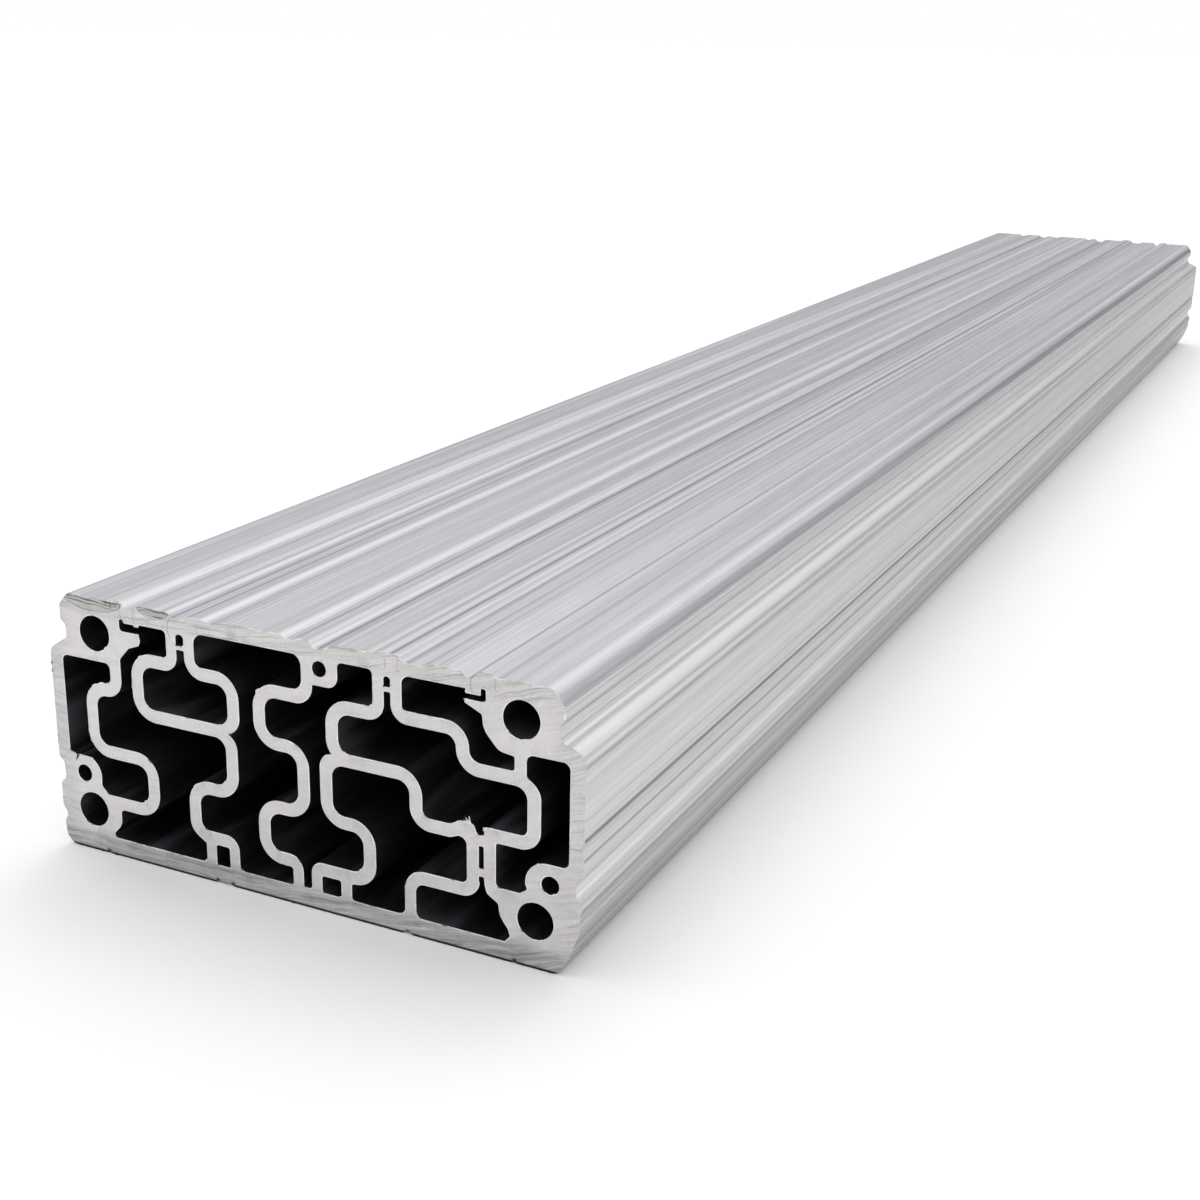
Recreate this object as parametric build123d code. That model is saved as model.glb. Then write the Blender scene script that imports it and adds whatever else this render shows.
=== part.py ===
from build123d import *
import os
from math import atan2, hypot, tan

# Multi-chamber aluminium extrusion, one straight length of bar.
# The bar lies on its flat underside and runs along Y.
# Its section is drawn as the front end is seen, x to the right and y up,
# with the origin where the left wall meets the underside.
# All sizes are in millimetres.

# Bar
LENGTH = 720.0
WIDTH = 110.0
HEIGHT = 50.8

# Outer walls
WALL_LEFT = 2.85
WALL_RIGHT = 2.75
WALL_BOTTOM = 3.65
WALL_TOP = 2.95

# Inner webs. A leg is the run of a web that stands on the top or bottom wall.
WEB = 2.5
LEG = 2.2
BEND = 3.6
FOOT = 1.2
SLOT_FILLET = 0.5

# Round ports for thread-forming screws
PORT_R = 3.4
SIDE_PORT_R = 1.65
TOP_PORT_R = 1.42

# Sides of a web that is followed downward
EAST = 1
WEST = -1

# The section is drawn 110 units wide and 50.8 units high, a unit being a
# millimetre at these sizes. Positions follow WIDTH and HEIGHT through it.
UNIT_X = WIDTH / 110.0
UNIT_Y = HEIGHT / 50.8

LEFT = WALL_LEFT
RIGHT = WIDTH - WALL_RIGHT
FLOOR = WALL_BOTTOM
CEILING = HEIGHT - WALL_TOP


def across(x):
    """Distance from the left wall, from its place on the drawing."""
    return x * UNIT_X


def up(y):
    """Height above the underside, from its place on the drawing."""
    return y * UNIT_Y


def at(x, y, r=0.0):
    """A corner of the section with its fillet radius."""
    return across(x), up(y), r


def bend(x, y, r=BEND):
    """A bend of a web's centre line with its radius there."""
    return across(x), up(y), r


def heading(p, q):
    """Unit vector from p to q."""
    span = hypot(q[0] - p[0], q[1] - p[1])
    return (q[0] - p[0]) / span, (q[1] - p[1]) / span


def side(path, hand):
    """Corners of the EAST or WEST side of a web, from its centre line.

    A run that starts or ends on the top or bottom wall is LEG thick and any
    other is WEB thick. Both sides of a bend share its centre.
    """
    ways = [heading(p, q) for p, q in zip(path, path[1:])]
    gaps = [hand * (LEG if CEILING in (p[1], q[1]) or FLOOR in (p[1], q[1]) else WEB) / 2
            for p, q in zip(path, path[1:])]
    first, last = path[0], path[-1]
    corners = [(first[0] - ways[0][1] * gaps[0], first[1] + ways[0][0] * gaps[0], first[2])]
    for i in range(1, len(ways)):
        x, y, r = path[i]
        ax, ay = ways[i - 1]
        bx, by = ways[i]
        turn = ax * by - ay * bx
        # The two offset runs meet where both distances from the centre line hold.
        shift_x = (gaps[i] * ax - gaps[i - 1] * bx) / turn
        shift_y = (gaps[i] * ay - gaps[i - 1] * by) / turn
        inner = hand * turn > 0
        reach = abs(gaps[i - 1] + gaps[i]) / 2
        corners.append((x - shift_x, y - shift_y, max(r - reach, SLOT_FILLET) if inner else r + reach))
    corners.append((last[0] - ways[-1][1] * gaps[-1], last[1] + ways[-1][0] * gaps[-1], last[2]))
    return corners


def rounded(corners):
    """Face with straight sides whose corners (x, y, r) are rounded to radius r.

    Two fillets that are too long for the side between them share it.
    """
    n = len(corners)
    spans = [hypot(corners[i][0] - corners[i - 1][0], corners[i][1] - corners[i - 1][1]) for i in range(n)]
    halves = []
    for i in range(n):
        ax, ay = heading(corners[i], corners[i - 1])
        bx, by = heading(corners[i], corners[(i + 1) % n])
        halves.append(abs(atan2(ax * by - ay * bx, ax * bx + ay * by)) / 2)
    wished = [corners[i][2] / tan(halves[i]) for i in range(n)]
    reach = list(wished)
    for i in range(n):
        wanted = wished[i - 1] + wished[i]
        if wanted > 0.98 * spans[i]:
            reach[i - 1] = min(reach[i - 1], wished[i - 1] / wanted * 0.98 * spans[i])
            reach[i] = min(reach[i], wished[i] / wanted * 0.98 * spans[i])
    rounds = []
    for i in range(n):
        spot = corners[i][:2]
        if reach[i] < 0.01:
            rounds.append((spot, None, spot))
            continue
        ax, ay = heading(spot, corners[i - 1])
        bx, by = heading(spot, corners[(i + 1) % n])
        cx, cy = heading((0, 0), (ax + bx, ay + by))
        radius = reach[i] * tan(halves[i])
        depth = hypot(radius, reach[i]) - radius
        start = (spot[0] + ax * reach[i], spot[1] + ay * reach[i])
        middle = (spot[0] + cx * depth, spot[1] + cy * depth)
        end = (spot[0] + bx * reach[i], spot[1] + by * reach[i])
        rounds.append((start, middle, end))
    edges = []
    for i in range(n):
        start, middle, end = rounds[i]
        if middle:
            edges.append(ThreePointArc(start, middle, end))
        edges.append(Line(end, rounds[(i + 1) % n][0]))
    return make_face(Wire(edges))


def pocket(x0, y0, x1, y1, r_low, r_high):
    """Upright slot between two legs, with its own fillets below and above."""
    return rounded([(x0, y0, r_low), (x1, y0, r_low), (x1, y1, r_high), (x0, y1, r_high)])


# Centre lines of the webs, from left to right, each followed downward.
# web_a runs from the top left corner block to the bottom left one.
web_a = [bend(15.1, 38.67, FOOT), bend(15.1, 33.35, 2.7), bend(9.0, 33.35), bend(9.0, 21.1),
         bend(22.25, 21.1), bend(22.25, 11.0), bend(14.1, 11.0)]
# web_b and web_c hang from the top wall as a pair and close a ring between them.
web_b = [(across(28.2), CEILING, 0.9), bend(28.2, 40.9, 1.9), bend(20.07, 40.9), bend(20.07, 30.25),
         bend(40.37, 30.25), bend(40.37, 18.6), bend(31.55, 18.6), bend(31.55, 9.6, 3.5)]
web_c = [(across(32.1), CEILING, 2.0), bend(32.1, 40.4, 2.6), bend(41.15, 40.4), bend(41.15, 30.25),
         bend(39.75, 30.25)]
# web_d carries web_b on to the bottom wall, where it has a second leg beside it.
web_d = [bend(40.37, 30.25), bend(40.37, 18.6), bend(31.55, 18.6), bend(31.55, 8.9, 3.05),
         bend(39.9, 8.9, 1.6), (across(39.9), FLOOR, FOOT)]
leg_d = across(34.75)
# web_e runs from the top wall to the bottom wall through the middle.
web_e = [(across(56.95), CEILING, 2.0), bend(56.95, 40.1, 3.2), bend(46.7, 40.1), bend(46.7, 30.35),
         bend(55.6, 30.35), bend(55.6, 18.25), bend(46.85, 18.25), bend(46.85, 8.45),
         bend(53.77, 8.45, 1.8), (across(53.77), FLOOR, 0.6)]
# web_f hangs from the top wall, and web_g carries it on to the bottom wall.
web_f = [(across(71.3), CEILING, 1.0), bend(71.3, 39.9, 2.3), bend(61.8, 39.9), bend(61.8, 30.2),
         bend(78.35, 30.2), bend(78.35, 21.8, 2.8), bend(84.9, 21.8, 1.0)]
web_g = [bend(89.4, 21.2), bend(89.4, 11.5, 2.3), bend(77.0, 11.5, 2.9), (across(77.0), FLOOR, 1.3)]
# web_h branches down from web_f to the bottom wall and also has a second leg.
web_h = [bend(70.0, 30.2), bend(60.3, 30.2), bend(60.3, 18.3), bend(68.9, 18.3), bend(68.9, 8.2),
         bend(57.7, 8.2, 1.2), (across(57.7), FLOOR, SLOT_FILLET)]
leg_h = across(63.9)
# web_i hangs beside web_f and loops round to the bottom right corner block.
web_i = [(across(74.8), CEILING, 1.5), bend(74.8, 40.45, 2.0), bend(87.45, 40.45), bend(87.45, 33.9),
         bend(100.8, 33.9), bend(100.8, 22.75, 2.5), bend(92.45, 22.75, 1.5), bend(92.45, 13.4, 1.0)]
# link ties web_i to the top right corner block.
link = across(98.25)

# Middles of the round ports
corner_ports = [(across(10.86), up(44.0)), (across(98.4), up(44.36)),
                (across(7.57), up(8.43)), (across(101.17), up(8.9))]
side_ports = [(across(5.98), up(15.53)), (across(103.88), up(16.15))]
top_port = (across(59.6), up(45.96))


def hollows():
    """Chambers and closed slots between the webs, from left to right."""
    # Left chamber, over the boss of the left side port
    boss = [at(11.4, 12.25, 1.2), at(9.9, 13.7, 1.0), at(10.1, 17.2, 3.6), at(7.9, 19.1, 0.8),
            at(5.1, 19.1, 0.2), at(3.9, 17.4, 0.1), at(4.4, 19.0, 0.4), (LEFT, up(19.6), 0.3)]
    yield rounded(side(web_a, WEST)[:-1] + boss + [(LEFT, up(38.67), FOOT)])

    # Chamber between web_a and web_b, from the hook slot by the top left corner port
    # down to the bottom wall
    hook = [(side(web_b, WEST)[0][0], up(47.3), 0.9), at(21.2, 47.3), at(21.2, 46.8, 0.15),
            at(20.0, 46.8, 0.15), at(20.0, 47.1), at(17.8, 47.1, 0.2), at(17.6, 47.75, 0.3),
            at(16.75, 47.75, 0.4), at(16.75, 45.5, 0.7), at(21.0, 45.5, 0.15), at(21.3, 44.3, 0.5),
            at(20.9, 43.3, 0.3), at(18.5, 42.4, 0.6), (side(web_a, EAST)[0][0], up(40.0), 1.0)]
    foot = [at(14.1, 9.75, 0.9), at(14.1, 6.6, 3.0), at(12.2, 4.6, 0.5), at(12.2, 4.0, 0.3),
            (across(12.6), FLOOR, 0.0), (leg_d - LEG / 2, FLOOR, 1.0), (leg_d - LEG / 2, up(7.5), 0.4)]
    yield rounded(hook + side(web_a, EAST)[1:-1] + foot + side(web_b, WEST)[:0:-1])

    # Ring between web_b and web_c, with the slot between their legs
    ring_left = side(web_b, EAST)
    ring_right = side(web_c, WEST)
    slot_left = ring_left[0][0]
    slot_right = ring_right[0][0]
    yield rounded([(slot_left, up(44.15), 0.3)] + ring_left[1:4] + ring_right[3:0:-1]
                  + [(slot_right, up(44.15), 0.3)])
    yield pocket(slot_left, up(44.9), slot_right, up(47.05), 0.2, 0.75)

    # Middle chamber, between web_c and web_d on the left and web_e on the right
    notch = [at(42.4, 30.9, 3.6), at(39.75, 30.05), at(41.62, 29.2, 3.1)]
    yield rounded(side(web_c, EAST)[:3] + notch + side(web_d, EAST)[1:] + side(web_e, WEST)[::-1])
    west = side(web_d, WEST)
    yield pocket(leg_d + LEG / 2, FLOOR, west[-1][0], west[-2][1], 0.1, SLOT_FILLET)

    # Chamber round the boss of the top port, between web_e and web_f with web_h
    slot = [(side(web_e, EAST)[-1][0], up(3.85), SLOT_FILLET),
            (side(web_h, WEST)[-1][0], up(3.85), SLOT_FILLET)]
    notch = [at(59.05, 28.7, 3.2), at(60.1, 30.4, 2.0), at(61.67, 30.75), at(60.55, 31.9, 3.8)]
    boss = [(across(63.25), CEILING, 1.0), at(63.25, 42.87, 2.2), (side(web_e, EAST)[0][0], up(42.87), 0.3)]
    yield rounded(boss + side(web_e, EAST)[1:-1] + slot + side(web_h, WEST)[-2:1:-1] + notch
                  + side(web_f, WEST)[2::-1])
    east = side(web_h, EAST)
    yield pocket(east[-1][0], FLOOR, leg_h - LEG / 2, east[-2][1], SLOT_FILLET, SLOT_FILLET)

    # Chamber between web_h and web_g, under web_f and its raised end
    inside = east[1:5]
    ceiling = side(web_f, WEST)[-3:] + [at(86.5, 21.2, 0.6), (side(web_g, WEST)[0][0], up(21.25), 1.5)]
    floor = [(leg_h + LEG / 2, FLOOR, 0.8), (leg_h + LEG / 2, inside[-1][1], 0.6)]
    yield rounded([(inside[0][0], ceiling[0][1], BEND - WEB / 2)] + ceiling + side(web_g, WEST)[1:] + floor
                  + inside[:0:-1])

    # Chamber between web_f and web_i, with the slot between their legs
    roof = side(web_i, WEST)
    bed = side(web_f, EAST)
    hump = [at(86.8, 24.0, 0.6), at(88.8, 23.9, 2.2), at(91.0, 22.1, 0.2)]
    mouth = [(roof[0][0], up(44.4), 0.3), (bed[0][0], up(44.4), 0.3)]
    yield rounded(mouth + bed[1:] + hump + roof[-2:0:-1])
    yield pocket(bed[0][0], up(45.25), roof[0][0], up(47.1), 0.2, 0.6)

    # Slot between web_g and web_i, and the bottom right chamber under it
    slot_left = side(web_g, EAST)[0][0]
    slot_right = side(web_i, WEST)[-1][0]
    yield pocket(slot_left, up(15.5), slot_right, up(20.25), 0.2, 0.4)
    block = [(across(95.4), FLOOR, 0.3), at(96.4, 4.8, 0.5), at(96.0, 6.1, 1.0), at(94.3, 8.4, 4.0),
             at(94.2, 10.4, 1.0), at(91.9, 11.8, 1.5)]
    mouth = [(slot_right, up(14.67), 0.3), (slot_left, up(14.67), 0.3)]
    yield rounded(block + mouth + side(web_g, EAST)[1:])

    # Top right chamber, with the hook slot by the corner port
    loop = side(web_i, EAST)
    hook = [(link - LEG / 2, loop[3][1], 0.5), (link - LEG / 2, up(37.75), 0.5), at(94.2, 38.1, 2.5),
            at(91.4, 41.3, 4.0), at(91.1, 43.9, 0.6), at(87.85, 45.4, 0.3), at(87.85, 46.05, 0.2),
            at(91.85, 46.05, 0.6), at(91.85, 48.3, 0.4), at(90.9, 48.3, 0.2), at(90.9, 47.05, 0.15),
            at(87.85, 47.05, 0.3), (across(88.1), CEILING, 0.0)]
    yield rounded(loop[:4] + hook)

    # Right chamber, round the outside of web_i, over the boss of the right side port
    boss = [(RIGHT, up(19.93), FOOT), at(99.3, 19.93, 4.2), at(99.2, 15.2, 2.0), at(99.7, 14.4, 0.6),
            at(98.2, 13.4, 0.4)]
    top = [(loop[5][0], up(32.6), 3.5), (link + LEG / 2, up(34.6), 0.8),
           (link + LEG / 2, up(38.53), 1.3), (RIGHT, up(38.53), 1.3)]
    yield rounded(top + boss + loop[:4:-1])


def outline():
    """Outside of the section, clockwise from the bottom left corner.

    Shallow grooves and lands run along the top, and wider grooves along both sides.
    """
    left = [at(2.0, 0.0, 1.0), at(0.4, 1.6, 1.0), at(0.15, 4.4), at(0.9, 5.8, 0.5), at(0.9, 6.4, 0.3),
            at(0.0, 7.7, 0.5), at(0.0, 12.5, 0.3), at(1.2, 13.4, 0.3), at(1.2, 16.8, 0.3), at(0.0, 17.7, 0.3),
            at(0.0, 39.4, 2.0), at(3.2, 41.5, 1.0), at(4.15, 42.0, 0.4), at(4.15, 44.7, 0.5),
            at(3.0, 45.4, 0.5), at(3.0, 48.4, 0.4), at(5.0, 50.8, 0.8)]
    top = [at(14.0, 50.8), at(17.3, 50.95, 0.2), at(18.0, 50.15, 0.3), at(20.2, 50.15, 0.3),
           at(21.2, 50.8, 0.3), at(27.9, 50.9, 0.3), at(28.5, 50.0, 0.3), at(31.2, 50.0, 0.3),
           at(32.2, 50.7, 0.3), at(35.4, 50.75, 0.3), at(36.4, 50.3, 0.3), at(37.6, 50.3, 0.3),
           at(38.5, 50.9, 0.3),
           at(52.0, 50.9, 0.3), at(53.2, 50.25, 0.3), at(54.2, 50.25, 0.3), at(55.4, 50.8, 0.3),
           at(57.4, 50.85, 0.3), at(58.7, 49.6, 0.2), at(60.8, 49.7, 0.3), at(62.4, 50.9, 0.3),
           at(70.6, 50.8, 0.2), at(71.1, 51.35, 0.2), at(75.5, 51.35, 0.3), at(76.1, 50.2, 0.2),
           at(80.4, 50.1, 0.2), at(81.0, 50.8, 0.3), at(87.2, 50.85, 0.5), at(88.1, 49.6, 0.2),
           at(89.3, 49.7, 0.5), at(90.6, 51.15, 0.3), at(93.3, 51.2, 0.3), at(94.1, 50.5, 0.2),
           at(94.9, 50.75), at(104.2, 50.75, 1.0)]
    right = [at(106.3, 47.9, 0.2), at(106.3, 45.6, 0.4), at(105.35, 44.7, 0.4), at(105.35, 42.8, 0.3),
             at(106.2, 41.5, 0.3), at(107.6, 41.35, 1.0), at(110.0, 40.0, 2.0), at(110.0, 24.7),
             at(109.4, 24.5), at(109.4, 24.1), at(110.0, 23.9), at(109.9, 18.8), at(108.65, 17.6, 0.3),
             at(108.65, 15.1, 0.3), at(109.8, 13.5, 0.3), at(109.8, 12.8, 0.2), at(109.35, 12.2, 0.3),
             at(109.35, 8.8, 6.0), at(107.4, 3.4, 4.0), at(105.4, 0.0, 1.5)]
    under = [at(97.6, 0.0), at(97.2, 0.35), at(96.8, 0.0), at(77.2, 0.0), at(76.4, 0.9, 0.2), at(75.4, 0.0),
             at(39.4, 0.0, 0.3), at(38.8, 0.4, 0.3), at(35.9, 0.4, 0.3), at(35.3, 0.0, 0.3), at(10.9, 0.0),
             at(10.6, 0.35), at(10.3, 0.0)]
    return rounded(left + top + right + under)


section = outline()
for hollow in hollows():
    section -= hollow
for x, y in corner_ports:
    section -= Pos(x, y) * Circle(PORT_R)
for x, y in side_ports:
    section -= Pos(x, y) * Circle(SIDE_PORT_R)
section -= Pos(*top_port) * Circle(TOP_PORT_R)

bar = extrude(Plane.XZ * Pos(-WIDTH / 2, 0) * section, amount=LENGTH / 2, both=True)
bar.label = "profile_bar"
os.makedirs("parts", exist_ok=True)
export_step(bar, "parts/profile_bar.step")
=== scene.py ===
# %% [markdown]
# # A length of aluminium extrusion
# The object is one bar of hollow profile, sawn at both ends and lying on a white floor. Its
# section is a flat tube crossed by webs that wind through it, with round ports in the corners.
# The lesson dresses that bar: the long skin gets its die lines, the sawn faces get their saw
# marks and thin burrs, and the chambers stay dark. All lengths are in millimetres until the last
# step, where a mesh wants metres.

import math

import bmesh
import bpy
import numpy as np
from mathutils import Matrix, Vector
from mathutils.geometry import delaunay_2d_cdt


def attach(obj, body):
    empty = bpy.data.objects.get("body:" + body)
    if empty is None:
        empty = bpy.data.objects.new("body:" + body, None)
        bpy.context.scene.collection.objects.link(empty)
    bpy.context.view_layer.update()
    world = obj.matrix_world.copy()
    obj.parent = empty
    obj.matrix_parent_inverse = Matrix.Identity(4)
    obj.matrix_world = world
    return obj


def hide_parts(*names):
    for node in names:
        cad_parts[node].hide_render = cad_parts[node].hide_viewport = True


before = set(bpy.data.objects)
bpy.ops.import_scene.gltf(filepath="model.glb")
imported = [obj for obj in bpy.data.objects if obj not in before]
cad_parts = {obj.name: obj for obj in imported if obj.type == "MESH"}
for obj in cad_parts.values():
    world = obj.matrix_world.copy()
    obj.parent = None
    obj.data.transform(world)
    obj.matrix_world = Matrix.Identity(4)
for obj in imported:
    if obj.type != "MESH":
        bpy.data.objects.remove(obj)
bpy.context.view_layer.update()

# %% [markdown]
# ## Reading the section
# The real bar is pushed through a steel die, so every cut across it shows the same outline. That
# outline could be typed in again here, but then two drawings would have to agree. It is safer to
# take it from the solid's own cut face. The solid comes as loose triangles, so a copy of its
# points is merged first.

# %% Merge a copy of the solid's points
MM = 0.001
MERGE_STEP = 1e-7

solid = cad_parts["profile_bar"].data
loose = np.empty(len(solid.vertices) * 3)
solid.vertices.foreach_get("co", loose)
loose = loose.reshape(-1, 3)
corners = np.empty(len(solid.loops), dtype=np.int64)
solid.loops.foreach_get("vertex_index", corners)

grid_key = np.round(loose / MERGE_STEP).astype(np.int64)
_, first, merged = np.unique(grid_key, axis=0, return_index=True, return_inverse=True)
points = loose[first]
triangles = merged.ravel()[corners].reshape(-1, 3)
NEAR = points[:, 1].min() / MM
FAR = points[:, 1].max() / MM
print("merged points:", len(points), "length in mm:", round(FAR - NEAR, 3))

# %% Keep the near cut face
FACE_DEPTH = 0.001

on_face = points[:, 1] < (NEAR + FACE_DEPTH) * MM
renumber = np.cumsum(on_face) - 1
face_xz = points[on_face][:, [0, 2]] / MM
cut = renumber[triangles[on_face[triangles].all(axis=1)]]
print("cut face:", len(face_xz), "points,", len(cut), "triangles")

# %% [markdown]
# A side that two triangles share runs both ways. A side on the edge of the metal runs one way
# only, so the loops are the sides with no partner. Each point of a loop knows just its follower.
# Looking twice as far ahead at every turn, which is called pointer doubling, gives each point its
# loop and its place in it after a dozen turns, without walking round.

# %% Put the edge of the metal into loops
DOUBLINGS = 12

sides = np.concatenate([cut[:, [0, 1]], cut[:, [1, 2]], cut[:, [2, 0]]])
count = len(face_xz)
one_way = ~np.isin(sides[:, 0] * count + sides[:, 1], sides[:, 1] * count + sides[:, 0])
follower = np.empty(count, dtype=np.int64)
follower[sides[one_way, 0]] = sides[one_way, 1]

head = np.arange(count)
ahead = follower.copy()
for _ in range(DOUBLINGS):
    head = np.minimum(head, head[ahead])
    ahead = ahead[ahead]

is_last = follower == head
to_go = (~is_last).astype(np.int64)
ahead = np.where(is_last, np.arange(count), follower)
for _ in range(DOUBLINGS):
    to_go = to_go + to_go[ahead]
    ahead = ahead[ahead]

order = np.lexsort((-to_go, head))
loops = np.split(face_xz[order], np.flatnonzero(np.diff(head[order])) + 1)


def signed_area(loop):
    """Half the sum of the cross products of neighbours: above zero for an anticlockwise loop."""
    following = np.roll(loop, -1, axis=0)
    return 0.5 * (loop[:, 0] * following[:, 1] - following[:, 0] * loop[:, 1]).sum()


loops.sort(key=signed_area, reverse=True)
print("loops:", len(loops), "skin area:", round(signed_area(loops[0]), 1))

# %% [markdown]
# ## Points along the loops
# The solid's loops have points only where they bend. To carry fine relief, the skin's loop gets a
# point about every fifth of a millimetre, and its corners are worn a little round, so that light
# fades across a groove. The loops of the holes keep their corners and get fewer new points.

# %% More points along the loops
SKIN_STEP = 0.22
HOLE_STEP = 1.1
TOO_NEAR = 0.3
WORN = 0.30


def stepped(loop, step, keep_corners):
    """Points read off evenly along the closed loop. The old corners stay as well if they are kept,
    and then a new point needs to be a share of the step away from them."""
    closed = np.vstack([loop, loop[:1]])
    along = np.concatenate([[0.0], np.cumsum(np.hypot(*np.diff(closed, axis=0).T))])
    stations = np.arange(0.0, along[-1] - step / 2, step)
    if keep_corners:
        gap = np.abs(stations[:, None] - along[None, :]).min(axis=1)
        stations = np.sort(np.concatenate([along[:-1], stations[gap > TOO_NEAR * step]]))
    return np.column_stack([np.interp(stations, along, closed[:, k]) for k in (0, 1)]), stations


def worn(loop, step, spread):
    """Each point becomes the mean of its neighbours, weighted by a bell curve of their distance."""
    reach = math.ceil(3 * spread / step)
    places = np.arange(-reach, reach + 1)
    weight = np.exp(-0.5 * (places * step / spread) ** 2)
    neighbours = np.stack([np.roll(loop, -place, axis=0) for place in places])
    return np.tensordot(weight / weight.sum(), neighbours, axes=1)


skin, skin_along = stepped(loops[0], SKIN_STEP, False)
skin = worn(skin, SKIN_STEP, WORN)
print("skin points:", len(loops[0]), "->", len(skin))

# %% [markdown]
# ## The narrow slot
# Low at the right of the section, two webs run side by side with a slot between them, and a V
# notch with a rounded hump stands over it. On the real bar the slot is a little wider, its floor a
# little higher and the hump a little fuller than the plain drawing of the solid. The holes' points
# are shifted to match: it keeps the solid simple and costs no new piece.

# %% Open the slot
SLOT_X = 35.93
SLOT_Z = (13.2, 23.4)
SLOT_GAP = 0.20
SLOT_HALF = 0.5
SLOT_FADE = 0.9
SLOT_END_FADE = 0.6
SLOT_FLOOR = (15.5, 20.25, 0.6)
FLOOR_MATCH = 0.1
SLOT_SPAN = 1.0
NOTCH_FROM = 21.5
NOTCH_FADE = 0.5
NOTCH_GAP = 0.20
HUMP = (34.1, 23.6)
HUMP_REACH = 1.0
HUMP_RISE = 0.28


def ramp(value, start, fade):
    """0 up to the start, then a straight rise to 1 over the length of the fade."""
    return np.clip((value - start) / fade, 0, 1)


def opened(loop):
    """A point goes away from the slot's middle line by a gap that fades out over a millimetre, and
    the slot's floor comes up. The hump swells up and to the right by a bell curve of the distance
    from its middle."""
    x, z = loop.T
    away = x - SLOT_X
    within = 1 - ramp(np.abs(away), SLOT_HALF, SLOT_FADE)
    within *= ramp(z, SLOT_Z[0], SLOT_END_FADE) * ramp(-z, -SLOT_Z[1], SLOT_END_FADE)
    gap = SLOT_GAP + NOTCH_GAP * ramp(z, NOTCH_FROM, NOTCH_FADE)
    swell = HUMP_RISE * np.exp(-((loop - HUMP) ** 2).sum(axis=1) / HUMP_REACH**2)
    wider = loop + swell[:, None]
    wider[:, 0] += np.sign(away) * gap * within
    low, high, lift = SLOT_FLOOR
    if abs(z.min() - low) < FLOOR_MATCH and np.abs(away).max() < SLOT_SPAN:
        wider[:, 1] += lift * (high - z) / (high - low)
    return wider


holes = [opened(stepped(loop, HOLE_STEP, True)[0]) for loop in loops[1:]]
print("points round the holes:", sum(map(len, loops[1:])), "->", sum(map(len, holes)))

# %% [markdown]
# ## Die lines on the skin
# The steel die is never quite smooth, and every scratch in its lips draws a fine line along the
# whole bar. A bump map could fake them, but real grooves also catch light at the edge of the bar
# and survive an export. Each line presses the skin's loop in by a few thousandths of a millimetre.

# %% Press the die lines in
SHARPEST = 0.62
LEAST = 1e-6
DIE_LINES = 230
LINE_DEPTH = (0.001, 0.005)
LINE_WIDTH = (0.16, 0.60)


def into_metal(loop):
    """At each point the mean of its two sides' left normals, lengthened so that both sides move
    evenly. At sharp corners the lengthening stops at a limit."""
    ahead_side = np.roll(loop, -1, axis=0) - loop
    ahead_side /= np.hypot(*ahead_side.T)[:, None]
    left = np.column_stack([-ahead_side[:, 1], ahead_side[:, 0]])
    mean = left + np.roll(left, 1, axis=0)
    mean /= np.maximum(np.hypot(*mean.T), LEAST)[:, None]
    return mean / np.maximum((mean * left).sum(axis=1), SHARPEST)[:, None]


rng = np.random.default_rng(41)
line_at = rng.uniform(0.0, skin_along[-1], DIE_LINES)
line_depth = rng.uniform(*LINE_DEPTH, DIE_LINES)
line_width = rng.uniform(*LINE_WIDTH, DIE_LINES)
widths_off = (skin_along[:, None] - line_at[None, :]) / line_width[None, :]
relief = (line_depth[None, :] * np.exp(-(widths_off**2))).sum(axis=1)
skin_lined = skin + into_metal(skin) * relief[:, None]
print("deepest die line in mm:", round(relief.max(), 3))

# %% [markdown]
# ## Rims left by the saw
# A saw leaves a thin raised lip round every opening, and a light brush of the file breaks the
# corner. On the real bar that lip is what draws the bright line round each chamber. Here the
# section is carried along the bar as a stack of rings, and the first few rings form the lip: one
# on the flat face, one on its crest, one on the broken corner and one just inside.

# %% All loops in one list of points
loops = [skin_lined] + holes
section = np.vstack(loops)
inward = np.vstack([into_metal(loop) for loop in loops])
sizes = np.array([len(loop) for loop in loops])
starts = np.cumsum(sizes) - sizes
loop_of = np.repeat(np.arange(len(loops)), sizes)
following = np.arange(len(section)) + 1
following[starts + sizes - 1] = starts
on_skin = loop_of == 0
print("points in the section:", len(section))

# %% A ragged height
WAVES = 14
WAVE_SPREAD = (0.6, 1.7)


def ragged(xz, wavelength, seed):
    """A smooth random height over the plane: the mean of sine waves in random directions, each
    about one wavelength long, scaled to lie near -1 to 1."""
    draw = np.random.default_rng(seed)
    turn = draw.uniform(0.0, 2 * np.pi, WAVES)
    pitch = 2 * np.pi / (wavelength * draw.uniform(*WAVE_SPREAD, WAVES))
    across = xz @ np.vstack([np.cos(turn), np.sin(turn)]) * pitch
    return np.sin(across + draw.uniform(0, 2 * np.pi, WAVES)).sum(axis=1) / math.sqrt(WAVES)


print("waves in a ragged height:", WAVES)

# %% The stack of rings
RIM = 0.18
RIM_WAVE = 2.4
RIM_UNEVEN = 0.35
CREST_AT = 0.7
LIP = 0.035
LIP_WAVE = 1.1
LIP_RAGGED = 0.05
CORNER_DROP = 0.03
RIM_DEPTH = 0.12
NARROWINGS = 30
NARROWER = 0.7
KNOT_BELOW = 0.3
INNER_STATIONS = (3.0, 30.0, 120.0, 240.0)


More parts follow.
